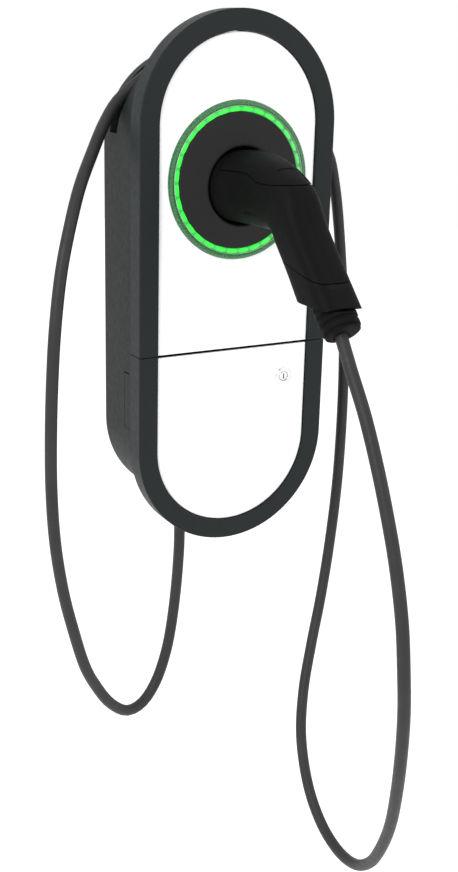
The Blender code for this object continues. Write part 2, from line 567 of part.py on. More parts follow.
def main():
    clear_scene()
    shell_grey = material("shell_grey", (0.045, 0.048, 0.050), 0.55)
    bezel_grey = material("bezel_grey", (0.033, 0.036, 0.038), 0.45)
    white = material("panel_white", (0.86, 0.87, 0.87), 0.30)
    black = material("holster_black", (0.030, 0.030, 0.030), 0.60)
    grip_black = material("connector_black", (0.012, 0.012, 0.012), 0.55)
    rubber = material("rubber", (0.018, 0.018, 0.018), 0.75)
    lead_grey = material("lead_grey", (0.060, 0.060, 0.062), 0.55)
    steel = material("steel", (0.55, 0.56, 0.57), 0.35, 1.0)
    chrome = material("chrome", (0.80, 0.80, 0.81), 0.12, 1.0)
    guide = material("light_guide", (0.10, 0.45, 0.14), 0.25)
    line = material("ring_line", (0.30, 0.33, 0.32), 0.35)
    glow = material("led_green", (0.05, 0.90, 0.08), 0.30)
    board = material("board_green", (0.02, 0.12, 0.05), 0.50)
    pale = material("pale_plastic", (0.62, 0.62, 0.60), 0.50)
    copper = material("brass", (0.75, 0.58, 0.28), 0.30, 1.0)
    orange = material("orange_plastic", (0.80, 0.25, 0.03), 0.45)

    make_bracket(steel)
    make_housing(shell_grey)
    make_side_cover(shell_grey, steel)
    make_front_frame(black, rubber)
    make_fronts(bezel_grey, white)
    make_ring(guide, line, glow, board)
    make_holster(black)
    make_electrics((board, black, pale, steel, copper))
    make_breaker(pale, black, orange)
    make_inner_cover(black)
    make_entries(black, rubber, steel)
    make_lock(chrome, steel)
    make_connector_shells(grip_black)
    make_connector_core(grip_black, copper, steel)
    make_latch(grip_black, steel)
    make_boot(rubber)
    make_lead(lead_grey)


main()
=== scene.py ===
"""Looks for a wall-mounted charging station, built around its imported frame.

The file is laid out as an add-on and run as a script. Shapes are modelled in millimetres and scaled to metres
when they are finished. The wall is the plane y = 0, the front faces -Y, and +X is to the right seen from the front.
"""
from math import cos, pi, radians, sin, sqrt

import bmesh
import bpy
from mathutils import Matrix, Vector


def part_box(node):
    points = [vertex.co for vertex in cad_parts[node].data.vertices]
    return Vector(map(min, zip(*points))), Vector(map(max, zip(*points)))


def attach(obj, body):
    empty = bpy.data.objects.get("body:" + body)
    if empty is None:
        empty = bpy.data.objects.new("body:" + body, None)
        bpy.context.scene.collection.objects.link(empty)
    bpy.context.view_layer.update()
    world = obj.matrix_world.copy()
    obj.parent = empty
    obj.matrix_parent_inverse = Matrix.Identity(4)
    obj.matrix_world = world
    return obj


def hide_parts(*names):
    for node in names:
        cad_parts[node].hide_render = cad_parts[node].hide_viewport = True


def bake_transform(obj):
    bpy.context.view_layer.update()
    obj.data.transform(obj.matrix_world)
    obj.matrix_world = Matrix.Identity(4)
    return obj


bl_info = {
    "name": "Charging Station",
    "version": (1, 0, 0),
    "blender": (4, 5, 0),
    "location": "View3D > Sidebar > Station",
    "description": "Builds a wall charging station with its docked connector and hanging lead",
    "category": "Add Mesh",
}

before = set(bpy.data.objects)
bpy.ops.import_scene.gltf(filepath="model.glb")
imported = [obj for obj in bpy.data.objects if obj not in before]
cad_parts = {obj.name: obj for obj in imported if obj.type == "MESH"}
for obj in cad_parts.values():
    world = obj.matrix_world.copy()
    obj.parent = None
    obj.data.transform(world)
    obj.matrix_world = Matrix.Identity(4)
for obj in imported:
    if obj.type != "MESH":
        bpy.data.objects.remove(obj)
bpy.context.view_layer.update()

MM = 0.001
GAP = 0.3                  # clearance between neighbouring pieces


def corners(node):
    """Lowest and highest corner of a CAD node, in millimetres."""
    low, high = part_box(node)
    return low / MM, high / MM


def middle(node):
    low, high = corners(node)
    return (low + high) / 2


# Places taken from the frame
BEZEL_LOW, BEZEL_HIGH = corners("upper_bezel")
WIDTH = BEZEL_HIGH.x - BEZEL_LOW.x
HEIGHT = 2 * BEZEL_HIGH.z
FRONT = BEZEL_LOW.y
BEZEL_REAR = BEZEL_HIGH.y
BEZEL_JOINT = (corners("lower_bezel")[1].z, BEZEL_LOW.z)
PANEL_LOW, PANEL_HIGH = corners("upper_panel")
PANEL_JOINT = (corners("lower_panel")[1].z, PANEL_LOW.z)
HOUSING_LOW, HOUSING_HIGH = corners("rear_housing")
HOUSING_WIDTH = HOUSING_HIGH.x - HOUSING_LOW.x
SEAL_LOW, SEAL_HIGH = corners("housing_seal")
HOUSING_HEIGHT = SEAL_HIGH.z - SEAL_LOW.z + 1.2
HOUSING_LIFT = middle("housing_seal").z
TOP_CENTRE = HOUSING_LIFT + (HOUSING_HEIGHT - HOUSING_WIDTH) / 2
BOSS_BOTTOM = HOUSING_LOW.z
RING_Z = middle("ring_outer").z
RING_R = corners("ring_outer")[1].x
DISC_R = corners("holster_disc")[1].x
BORE_Z = middle("conn_barrel").z
LOCK = (middle("lock_body").x, middle("lock_body").z)
GLAND = (middle("gland_body").x, middle("gland_body").y)
RELIEF_BOTTOM = corners("gland_seal")[0].z

# Sizes that the frame doesn't state
CHANNEL_Y = (-37.5, -19.0)  # the groove over the top that the lead lies in
CHANNEL_FLOOR = 87.0
BORE_R = 42.5
WALL = 3.0                  # thickness of the housing, the bezel and the connector's shells
STRIP_RECESS = ((-112, -72.2, -166.2), (-106.2, -59.8, -99.2))
BOOT_START = 30             # the boot is drawn from here and cut off at the collar
BOOT_TILT = 48
COLLAR_BOTTOM = 20.0
BOOT_END = 78.0             # distance of the boot's end from the last bend, along the handle
BOOT_SHIFT = 5.0            # the boot's ribs are this far off the lead's line
SCREWS = ((-238, 82), (-272, 63))
FADE = (0.018, 0.072)       # metres to the right, where the ring's light fades
CONTACTS = ((-8.5, 124), (8.5, 124), (0, 106), (-12.5, 109), (12.5, 109))

# Side profile of the connector's head and handle: y, z, tilt of the path below level in degrees,
# half width, half depth and squareness. The path starts at the nose and runs forward and down.
HANDLE = ((-108, 116, 0, 40.5, 38.5, 2.2), (-134, 116, 0, 40.5, 38.5, 2.2), (-142, 116.5, 0, 38, 38.8, 2.2),
          (-160, 117.5, 2, 31, 39, 2.5), (-185, 117, 8, 27, 38.5, 2.6), (-212, 112, 20, 25.5, 35.5, 2.7),
          (-238, 104, 34, 24.4, 29.2, 3.0), (-257, 81, 46, 24, 23.6, 3.8), (-285, 50.5, 48, 24, 23, 4.0),
          (-325.1, 5.9, 48, 24.6, 25, 4.0))

# Joint between the connector's top cover and its shells, seen from the side: y, z
COVER_LINE = ((-141, 134.5), (-172, 135.5), (-188, 134.5), (-204, 128.5), (-222, 127.6), (-278, 132))

# Joint between the shells and the end collar: y, z
END_JOINT = ((-225, 63.1), (-345, 39.3))

# Outline of the finger grip that is sunk into the sides of the handle below the head: y, z
GRIP_OUTLINE = ((-178, 60), (-180, 94), (-184, 96.5), (-192, 96), (-222, 93.5), (-232, 91), (-240, 84),
                (-246, 60))

# Centre line of the lead, from the gland to the boot
ROUTE = ((-33, -58, -304.5), (-33.5, -58, -340), (-37, -57.5, -394), (-44, -58, -447), (-53, -60, -482),
         (-68, -65, -512), (-90, -73, -531), (-116, -82, -531), (-142, -90, -509), (-163, -97, -477),
         (-180, -103, -442), (-196, -108, -388), (-209, -112, -334), (-219, -117, -272), (-224, -122, -206),
         (-225, -127, -136), (-222, -129, -63), (-216, -126, -11), (-206, -118, 35), (-191, -106, 78),
         (-172, -88, 116), (-148, -66, 149), (-125, -44, 176), (-103, -30, 199), (-82, -28, 216),
         (-58, -28, 233), (-30, -28, 244.5), (0, -28, 249), (32, -28, 243.5), (64, -28, 229), (100, -28, 208),
         (136, -28, 184), (165, -28, 157), (182, -28, 133), (190, -30, 102), (195, -34, 64), (200, -40, 2),
         (204, -48, -79), (202, -57, -170), (194, -67, -270), (180, -78, -352), (160, -93, -424),
         (136, -111, -485), (114, -131, -537), (100, -152, -590), (94, -182, -642), (92, -219, -676),
         (92, -259, -691), (91, -297, -685), (85, -333, -656), (72, -368, -609), (56, -402, -551),
         (37, -432, -487), (19, -457, -421), (7, -471, -360), (1, -473, -310), (0, -466, -262),
         (0, -451, -212), (0, -434, -170), (0, -411, -122), (0, -385, -76), (0, -358, -38), (0, -337.5, -7.8))

# Centre line of the lead's hidden end, through the boot and the handle to the connector's core
ROUTE_INSIDE = ((0, -330.5, 0), (0, -323.8, 7.4), (0, -317.1, 14.8), (0, -309.6, 23.4), (0, -297, 41),
                (0, -280, 68), (0, -262, 89), (0, -240, 103), (0, -216, 110.5))


# ---------------------------------------------------------------- sizes and colours to change

class StationSizes(bpy.types.PropertyGroup):
    """Sizes of the station's visible details."""
    bezel_face: bpy.props.FloatProperty(
        name="Bezel Face", description="Width of the bezel's front face", default=0.0228, unit="LENGTH")
    bezel_round: bpy.props.FloatProperty(
        name="Bezel Rounding", description="Radius of the bezel's outer front edge", default=0.0016, unit="LENGTH")
    lead_diameter: bpy.props.FloatProperty(
        name="Lead Diameter", description="Outside diameter of the lead", default=0.0136, unit="LENGTH")
    lit_cells: bpy.props.IntProperty(
        name="Lit Cells", description="Number of lit cells round the ring", default=32, min=8)
    prisms: bpy.props.IntProperty(
        name="Prisms", description="Number of prisms round the light guide", default=150, min=24)
    boot_ribs: bpy.props.IntProperty(
        name="Boot Ribs", description="Number of ribs on the connector's boot", default=5, min=1)
    floor_drop: bpy.props.FloatProperty(
        name="Floor Drop", description="Height of the station's origin above the floor", default=1.25,
        unit="LENGTH")


def colour_property(name, description, value):
    return bpy.props.FloatVectorProperty(
        name=name, description=description, default=value, subtype="COLOR", size=3, min=0, max=1)


class StationColours(bpy.types.PropertyGroup):
    """Colours of the station's main finishes."""
    housing: colour_property("Housing", "Rear housing", (0.015, 0.0175, 0.018))
    bezel: colour_property("Bezel", "Front bezel", (0.0125, 0.0155, 0.0165))
    panel: colour_property("Panel", "Front panels", (0.90, 0.90, 0.90))
    holster: colour_property("Holster", "Disc round the connector", (0.017, 0.016, 0.017))
    connector: colour_property("Connector", "Connector's shells", (0.0035, 0.0035, 0.0036))
    lead: colour_property("Lead", "Lead's jacket", (0.024, 0.024, 0.024))
    glow: colour_property("Light", "Lit cells of the ring", (0.035, 1.0, 0.060))
    guide: colour_property("Light Guide", "Prisms round the lit cells", (0.012, 0.075, 0.022))


def sizes():
    return bpy.context.scene.station_sizes


def colours():
    return bpy.context.scene.station_colours


# ---------------------------------------------------------------- materials

def node(tree, kind, settings=(), **inputs):
    """A shader node with its settings and the default values of its inputs."""
    made = tree.nodes.new(kind)
    for name, value in dict(settings).items():
        setattr(made, name, value)
    for name, value in inputs.items():
        made.inputs[name.replace("_", " ")].default_value = value
    return made


def new_material(name, colour, roughness, **values):
    """A material with constant values on its own shader; returns its tree, shader and place coordinates."""
    made = bpy.data.materials.new(name)
    made.use_nodes = True
    tree = made.node_tree
    shader = tree.nodes["Principled BSDF"]
    shader.inputs["Base Color"].default_value = (*colour, 1.0)
    shader.inputs["Roughness"].default_value = roughness
    for key, value in values.items():
        shader.inputs[key.replace("_", " ")].default_value = value
    place = tree.nodes.new("ShaderNodeTexCoord").outputs["Object"]
    return made, tree, shader, place


def stretched(tree, place, scale):
    """Place coordinates scaled along each axis, for a grain that runs one way."""
    mapping = node(tree, "ShaderNodeMapping", Scale=scale)
    tree.links.new(place, mapping.inputs["Vector"])
    return mapping.outputs["Vector"]


def noise(tree, place, scale, detail=2.0):
    made = node(tree, "ShaderNodeTexNoise", Scale=scale, Detail=detail)
    tree.links.new(place, made.inputs["Vector"])
    return made.outputs["Fac"]


def spread(tree, value, low, high, source=(0.3, 0.7)):
    """A value from a texture spread from low to high."""
    made = node(tree, "ShaderNodeMapRange", From_Min=source[0], From_Max=source[1], To_Min=low, To_Max=high)
    tree.links.new(value, made.inputs["Value"])
    return made.outputs["Result"]


def mixed(tree, share, first, second):
    """Two colours mixed by a texture's value."""
    made = node(tree, "ShaderNodeMix", {"data_type": "RGBA"})
    made.inputs[6].default_value = (*first, 1.0)
    made.inputs[7].default_value = (*second, 1.0)
    tree.links.new(share, made.inputs[0])
    return made.outputs[2]


def tone(colour, amount):
    return [min(1.0, channel * amount) for channel in colour]


def grain(tree, shader, height, depth, strength=1.0):
    """Bump from a texture's value, with its depth in metres."""
    bump = node(tree, "ShaderNodeBump", Strength=strength, Distance=depth)
    tree.links.new(height, bump.inputs["Height"])
    tree.links.new(bump.outputs["Normal"], shader.inputs["Normal"])


def moulded(name, colour, roughness, texture=1100, depth=0.00006, cloud=0.06, **values):
    """Moulded plastic: a fine surface texture, slow changes of tone, and gloss that varies a little."""
    made, tree, shader, place = new_material(name, colour, roughness, **values)
    shade = spread(tree, noise(tree, place, 9, 3), 0, 1)
    tree.links.new(mixed(tree, shade, tone(colour, 1 - cloud), tone(colour, 1 + cloud)),
                   shader.inputs["Base Color"])
    tree.links.new(spread(tree, noise(tree, place, 160, 4), roughness - 0.05, roughness + 0.05),
                   shader.inputs["Roughness"])
    grain(tree, shader, noise(tree, place, texture, 2), depth)
    return made


def metal(name, colour, roughness, stroke=(40, 40, 900), depth=0.00002):
    """Drawn or plated metal with fine marks along one axis."""
    made, tree, shader, place = new_material(name, colour, roughness, Metallic=1.0)
    marks = noise(tree, stretched(tree, place, stroke), 1.0, 4)
    tree.links.new(mixed(tree, spread(tree, noise(tree, place, 60, 3), 0, 1), tone(colour, 0.86), colour),
                   shader.inputs["Base Color"])
    tree.links.new(spread(tree, marks, roughness - 0.06, roughness + 0.12), shader.inputs["Roughness"])
    grain(tree, shader, marks, depth, 0.5)
    return made


def panel_gloss():
    """Smooth white plastic with a faint ripple under a clear coat."""
    white = colours().panel
    made, tree, shader, place = new_material("panel_white", white, 0.28, Coat_Weight=0.25, Coat_Roughness=0.08)
    tree.links.new(mixed(tree, spread(tree, noise(tree, place, 7, 2), 0, 1), tone(white, 0.985), white),
                   shader.inputs["Base Color"])
    tree.links.new(spread(tree, noise(tree, place, 220, 3), 0.25, 0.31), shader.inputs["Roughness"])
    grain(tree, shader, noise(tree, place, 420, 1), 0.000012)
    return made


def fade_to_right(tree, place):
    """A value that rises from 0 to 1 towards the right-hand side of the ring."""
    split = node(tree, "ShaderNodeSeparateXYZ")
    tree.links.new(place, split.inputs["Vector"])
    return spread(tree, split.outputs["X"], 0, 1, source=FADE)


def lit_cell():
    """Lit cells: brightest at the left, fading to pale grey-green at the right-hand side of the ring."""
    glow = colours().glow
    made, tree, shader, place = new_material("led_green", tone(glow, 0.5), 0.3, Emission_Strength=1.0)
    tree.links.new(mixed(tree, fade_to_right(tree, place), glow, (0.10, 0.26, 0.13)),
                   shader.inputs["Emission Color"])
    tree.links.new(mixed(tree, spread(tree, noise(tree, place, 500, 2), 0, 1), tone(glow, 0.35), tone(glow, 0.6)),
                   shader.inputs["Base Color"])
    grain(tree, shader, noise(tree, place, 900, 1), 0.00003)
    return made


def diffuser_painted_glow():
    """The diffuser between the lit cells: its weaker green emission is painted glow for the cells' light spreading
    through it, dimmer towards the right, with faint streaks in its colour.
    """
    made, tree, shader, place = new_material("led_diffuser", (0.05, 0.30, 0.08), 0.25, Emission_Strength=1.0)
    # painted glow: emission on the diffuser stands in for light from the cells, fading towards the right
    tree.links.new(mixed(tree, fade_to_right(tree, place), (0.012, 0.36, 0.03), (0.05, 0.12, 0.07)),
                   shader.inputs["Emission Color"])
    tree.links.new(mixed(tree, spread(tree, noise(tree, place, 700, 3), 0, 1), (0.02, 0.16, 0.04), (0.08, 0.4, 0.12)),
                   shader.inputs["Base Color"])
    return made


def light_guide():
    """Clear green plastic over prisms, lit from inside by the cells."""
    guide = colours().guide
    made, tree, shader, place = new_material("light_guide", guide, 0.16, Coat_Weight=0.4, Coat_Roughness=0.05,
                                             Emission_Strength=1.0)
    streaks = spread(tree, noise(tree, place, 620, 3), 0, 1)
    tree.links.new(mixed(tree, streaks, tone(guide, 0.35), tone(guide, 2.2)), shader.inputs["Base Color"])
    tree.links.new(mixed(tree, streaks, (0.001, 0.016, 0.003), (0.004, 0.07, 0.010)),
                   shader.inputs["Emission Color"])
    return made


def circuit_board():
    """Green solder mask with a faint pattern of tracks."""
    made, tree, shader, place = new_material("board_green", (0.02, 0.12, 0.05), 0.4, Coat_Weight=0.3)
    tracks = node(tree, "ShaderNodeTexBrick", {"offset": 0.5, "squash": 1.0}, Scale=260, Mortar_Size=0.06,
                  Brick_Width=0.9, Row_Height=0.3)
    tree.links.new(stretched(tree, place, (1, 0, 1)), tracks.inputs["Vector"])
    tree.links.new(mixed(tree, tracks.outputs["Fac"], (0.012, 0.085, 0.035), (0.03, 0.17, 0.07)),
                   shader.inputs["Base Color"])
    grain(tree, shader, tracks.outputs["Fac"], 0.00003)
    return made


def lead_jacket():
    """Satin jacket with a fine matt texture and slightly worn patches."""
    made, tree, shader, place = new_material("lead_grey", colours().lead, 0.5, Specular_IOR_Level=0.25)
    wear = spread(tree, noise(tree, place, 34, 4), 0, 1)
    tree.links.new(mixed(tree, wear, tone(colours().lead, 0.88), tone(colours().lead, 1.12)),
                   shader.inputs["Base Color"])
    tree.links.new(spread(tree, noise(tree, place, 240, 3), 0.44, 0.56), shader.inputs["Roughness"])
    grain(tree, shader, noise(tree, place, 1500, 2), 0.00004)
    return made


def finishes():
    """The material for each slot of the record."""
    made = {
        "shell_grey": lambda: moulded("shell_grey", colours().housing, 0.55, Specular_IOR_Level=0.14),
        "bezel_grey": lambda: moulded("bezel_grey", colours().bezel, 0.46, depth=0.00003, cloud=0.04,
                                      Specular_IOR_Level=0.14),
        "panel_white": panel_gloss,
        "holster_black": lambda: moulded("holster_black", colours().holster, 0.62, 900, 0.00008,
                                         Specular_IOR_Level=0.12),
        "connector_black": lambda: moulded("connector_black", colours().connector, 0.55, 1300, 0.00005,
                                           Specular_IOR_Level=0.08),
        "rubber": lambda: moulded("rubber", (0.004, 0.004, 0.004), 0.7, 700, 0.00006, Specular_IOR_Level=0.08),
        "lead_grey": lead_jacket,
        "steel": lambda: metal("steel", (0.55, 0.56, 0.57), 0.34),
        "chrome": lambda: metal("chrome", (0.86, 0.86, 0.87), 0.10, (300, 300, 300), 0.000004),
        "light_guide": light_guide,
        # the rib is a real part; its pale grey-green colour is a painted highlight along the ring's front edge
        "ring_line": lambda: moulded("ring_line", (0.34, 0.40, 0.36), 0.3, cloud=0.2),
        "led_green": lit_cell,
        "board_green": circuit_board,
        "pale_plastic": lambda: moulded("pale_plastic", (0.62, 0.62, 0.60), 0.5),
        "brass": lambda: metal("brass", (0.75, 0.58, 0.28), 0.28),
        "orange_plastic": lambda: moulded("orange_plastic", (0.80, 0.25, 0.03), 0.42),
    }
    return {slot: make() for slot, make in made.items()}


def finish_of(slot):
    return FINISHES[slot]


FINISHES = {}


# ---------------------------------------------------------------- modelling tools

def loft(sections, closed=False):
    """A skin drawn by extruding a ring of points through a row of sections; closed joins its two ends."""
    bm = bmesh.new()
    place = bm.verts.layers.int.new("place")
    bmesh.ops.create_circle(bm, segments=len(sections[0]), radius=1.0)
    for index, vert in enumerate(bm.verts):
        vert[place] = index
        vert.co = sections[0][index]
    ring = list(bm.edges)
    if not closed:
        bmesh.ops.edgeloop_fill(bm, edges=ring)
    rest = sections[1:] + (sections[:1] if closed else [])
    for section in rest:
        grown = bmesh.ops.extrude_edge_only(bm, edges=ring)["geom"]
        for vert in grown:
            if isinstance(vert, bmesh.types.BMVert):
                vert.co = section[vert[place]]
        ring = [edge for edge in grown if isinstance(edge, bmesh.types.BMEdge) and edge.is_boundary]
    if closed:
        bmesh.ops.remove_doubles(bm, verts=bm.verts, dist=0.001)
    else:
        bmesh.ops.edgeloop_fill(bm, edges=ring)
    bmesh.ops.recalc_face_normals(bm, faces=bm.faces)
    return bm


def stadium(inset, y, width=None, height=None, lift=0.0, steps=56):
    """Points round a shape with straight sides and half-round ends, drawn in by an inset."""
    width, height = width or WIDTH, height or HEIGHT
    radius = width / 2 - inset
    centre = (height - width) / 2
    points = []
    for side, start in ((1, 0.0), (-1, pi)):
        for step in range(steps + 1):
            angle = start + pi * step / steps
            points.append(Vector((radius * cos(angle), y, lift + side * centre + radius * sin(angle))))
    return points


def turned(profile, centre, axis="Y", steps=96, closed=True):
    """Spin a profile of (radius, place along the axis); the centre is the axis's other two coordinates."""
    first, second = centre
    origin = {"X": (0, first, second), "Y": (first, 0, second), "Z": (first, second, 0)}[axis]
    along = Vector({"X": (1, 0, 0), "Y": (0, 1, 0), "Z": (0, 0, 1)}[axis])
    out = Vector((0, 0, 1)) if axis == "X" else Vector((1, 0, 0))
    bm = bmesh.new()
    verts = [bm.verts.new(Vector(origin) + out * radius + along * place) for radius, place in profile]
    edges = [bm.edges.new(pair) for pair in zip(verts, verts[1:])]
    if closed:
        edges.append(bm.edges.new((verts[-1], verts[0])))
    bmesh.ops.spin(bm, geom=verts + edges, cent=origin, axis=along, angle=2 * pi, steps=steps, use_merge=True)
    bmesh.ops.remove_doubles(bm, verts=bm.verts, dist=0.001)
    bmesh.ops.recalc_face_normals(bm, faces=bm.faces)
    return bm


def rod(radius, low, high, centre, axis="Y", steps=48):
    return turned([(0, low), (radius, low), (radius, high), (0, high)], centre, axis, steps, closed=False)


def block(low, high):
    bm = bmesh.new()
    bmesh.ops.create_cube(bm, size=1.0)
    bmesh.ops.scale(bm, verts=bm.verts, vec=Vector(high) - Vector(low))
    bmesh.ops.translate(bm, verts=bm.verts, vec=(Vector(high) + Vector(low)) / 2)
    return bm


def prism(outline, low, high, axis="X"):
    """Extrude a flat outline: (y, z) points along X, or (x, z) points along Y."""
    bm = bmesh.new()
    spots = [Vector((low, a, b)) if axis == "X" else Vector((a, low, b)) for a, b in outline]
    face = bm.faces.new([bm.verts.new(spot) for spot in spots])
    grown = bmesh.ops.extrude_face_region(bm, geom=[face])["geom"]
    step = Vector((high - low, 0, 0)) if axis == "X" else Vector((0, high - low, 0))
    bmesh.ops.translate(bm, verts=[item for item in grown if isinstance(item, bmesh.types.BMVert)], vec=step)
    bmesh.ops.recalc_face_normals(bm, faces=bm.faces)
    return bm


def softened(bm, width, segments=2, sharpness=40):
    """Round every edge that is sharper than an angle."""
    sharp = [edge for edge in bm.edges if edge.is_manifold and edge.calc_face_angle() > radians(sharpness)]
    bmesh.ops.bevel(bm, geom=sharp, offset=width, affect="EDGES", segments=segments, profile=0.5, material=-1,
                    clamp_overlap=True)
    return bm


def temporary(bm):
    mesh = bpy.data.meshes.new("temporary")
    bm.to_mesh(mesh)
    bm.free()
    made = bpy.data.objects.new("temporary", mesh)
    bpy.context.scene.collection.objects.link(made)
    return made


def carved(bm, *cutters, operation="DIFFERENCE"):
    """The shape after an exact Boolean with each cutter in turn."""
    body = temporary(bm)
    tools = [temporary(cutter) for cutter in cutters]
    for tool in tools:
        step = body.modifiers.new("Carve", "BOOLEAN")
        step.operation = operation
        step.object = tool
    shape = bpy.data.meshes.new_from_object(body.evaluated_get(bpy.context.evaluated_depsgraph_get()))
    result = bmesh.new()
    result.from_mesh(shape)
    for mesh in [shape] + [item.data for item in (body, *tools)]:
        bpy.data.meshes.remove(mesh)
    return result


def joined(*shapes):
    """Several closed shapes in one bmesh."""
    result = bmesh.new()
    for shape in shapes:
        mesh = bpy.data.meshes.new("temporary")
        shape.to_mesh(mesh)
        shape.free()
        result.from_mesh(mesh)
        bpy.data.meshes.remove(mesh)
    return result


def finished(bm, name, slot, replaces=(), body="root", finish=None, crease=35):
    """Turn a bmesh in millimetres into a named piece that rides on a body and stands for CAD nodes."""
    bmesh.ops.scale(bm, verts=bm.verts, vec=(MM, MM, MM))
    mesh = bpy.data.meshes.new(name)
    bm.to_mesh(mesh)
    bm.free()
    mesh.materials.append(finish or finish_of(slot))
    mesh.shade_smooth()
    mesh.set_sharp_from_angle(angle=radians(crease))
    piece = bpy.data.objects.new(name, mesh)
    bpy.context.scene.collection.objects.link(piece)
    normals = piece.modifiers.new("Even Normals", "WEIGHTED_NORMAL")
    normals.keep_sharp = True
    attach(piece, body)
    if replaces:
        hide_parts(*replaces)
    return piece


# ---------------------------------------------------------------- stage

def area_light(name, place, target, size, power, tint=(1, 1, 1)):
    lamp = bpy.data.lights.new(name, "AREA")
    lamp.shape = "DISK"
    lamp.size = size
    lamp.energy = power
    lamp.color = tint
    made = bpy.data.objects.new(name, lamp)
    made.location = place
    made.rotation_euler = (Vector(target) - Vector(place)).to_track_quat("-Z", "Y").to_euler()
    bpy.context.scene.collection.objects.link(made)


class STATION_OT_stage(bpy.types.Operator):
    """Add the camera, the pale floor and the soft light"""
    bl_idname = "station.stage"
    bl_label = "Stage"

    def execute(self, context):
        scene = context.scene
        scene.view_settings.view_transform = "Standard"
        camera = bpy.data.objects.new("camera", bpy.data.cameras.new("camera"))
        place, aim = Vector((-0.67655, -1.31237, 0.27569)), Vector((-0.00564, -0.128, -0.17224))
        roll = Matrix.Rotation(radians(1.5), 4, "Z")
        look = (aim - place).to_track_quat("-Z", "Y").to_matrix().to_4x4()
        camera.matrix_world = Matrix.Translation(place) @ look @ roll
        camera.data.lens = 50.72
        camera.data.clip_start = 0.05
        scene.collection.objects.link(camera)
        scene.camera = camera

        world = bpy.data.worlds.new("studio")
        world.use_nodes = True
        world.node_tree.nodes["Background"].inputs["Color"].default_value = (1, 1, 1, 1)
        world.node_tree.nodes["Background"].inputs["Strength"].default_value = 1.0
        scene.world = world

        bm = bmesh.new()
        bmesh.ops.create_circle(bm, cap_ends=True, segments=96, radius=9.0)
        bmesh.ops.translate(bm, verts=bm.verts, vec=(0, 0, -sizes().floor_drop))
        mesh = bpy.data.meshes.new("floor")
        bm.to_mesh(mesh)
        bm.free()
        floor = bpy.data.objects.new("floor", mesh)
        mesh.materials.append(moulded("pale_floor", (0.93, 0.93, 0.93), 0.8, 60, 0.0002, 0.01,
                                      Emission_Color=(1, 1, 1, 1), Emission_Strength=0.25))
        scene.collection.objects.link(floor)

        area_light("key", (-2.2, -1.5, 1.5), (0, 0, -0.1), 1.6, 42)
        area_light("fill", (1.8, -2.2, 0.8), (0, 0, -0.1), 1.8, 8)
        return {"FINISHED"}


# ---------------------------------------------------------------- lead

def smooth_route(points, spacing):
    """Evenly spaced points on a Catmull-Rom curve through the route's own points."""
    route = [Vector(p) for p in points]
    route = [2 * route[0] - route[1]] + route + [2 * route[-1] - route[-2]]
    dense = []
    for p0, p1, p2, p3 in zip(route, route[1:], route[2:], route[3:]):
        for step in range(24):
            t = step / 24
            dense.append(0.5 * (2 * p1 + (p2 - p0) * t + (2 * p0 - 5 * p1 + 4 * p2 - p3) * t * t
                                + (3 * p1 - p0 - 3 * p2 + p3) * t ** 3))
    dense.append(route[-2])
    lengths = [0.0]
    for a, b in zip(dense, dense[1:]):
        lengths.append(lengths[-1] + (b - a).length)
    count = max(2, round(lengths[-1] / spacing))
    picked, index = [], 0
    for step in range(count + 1):
        target = lengths[-1] * step / count
        while index < len(lengths) - 2 and lengths[index + 1] < target:
            index += 1
        share = (target - lengths[index]) / (lengths[index + 1] - lengths[index])
        picked.append(dense[index].lerp(dense[index + 1], share))
    return picked


class STATION_OT_lead(bpy.types.Operator):
    """Add the lead, from its gland to the connector's boot"""
    bl_idname = "station.lead"
    bl_label = "Lead"

    def execute(self, context):
        points = [point * MM for point in smooth_route(ROUTE + ROUTE_INSIDE, 9)]
        curve = bpy.data.curves.new("lead_line", "CURVE")
        curve.dimensions = "3D"
        curve.bevel_depth = sizes().lead_diameter / 2
        curve.bevel_resolution = 8
        curve.use_fill_caps = True
        spline = curve.splines.new("POLY")
        spline.points.add(len(points) - 1)
        for spot, point in zip(spline.points, points):
            spot.co = (*point, 1.0)
        line = bpy.data.objects.new("lead_line", curve)
        context.scene.collection.objects.link(line)
        tube = bpy.data.meshes.new_from_object(line.evaluated_get(context.evaluated_depsgraph_get()))
        bpy.data.objects.remove(line)
        tube.name = "lead"
        tube.materials.clear()
        tube.materials.append(finish_of("lead_grey"))
        bm = bmesh.new()
        bm.from_mesh(tube)
        bmesh.ops.remove_doubles(bm, verts=bm.verts, dist=0.00001)
        bmesh.ops.recalc_face_normals(bm, faces=bm.faces)
        bm.to_mesh(tube)
        bm.free()
        tube.shade_smooth()
        tube.set_sharp_from_angle(angle=radians(40))
        lead = bpy.data.objects.new("lead", tube)
        context.scene.collection.objects.link(lead)
        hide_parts("cable_rear", "cable_front")
        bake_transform(lead)
        carried = [node for node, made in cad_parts.items() if node.startswith("conn_") and not made.hide_render]
        carried += ["grip_shell_left", "grip_shell_right", "grip_cover", "grip_collar", "grip_boot",
                    "thumb_rest", "nose_sleeve"]
        return {"FINISHED"}


# ---------------------------------------------------------------- housing and fronts

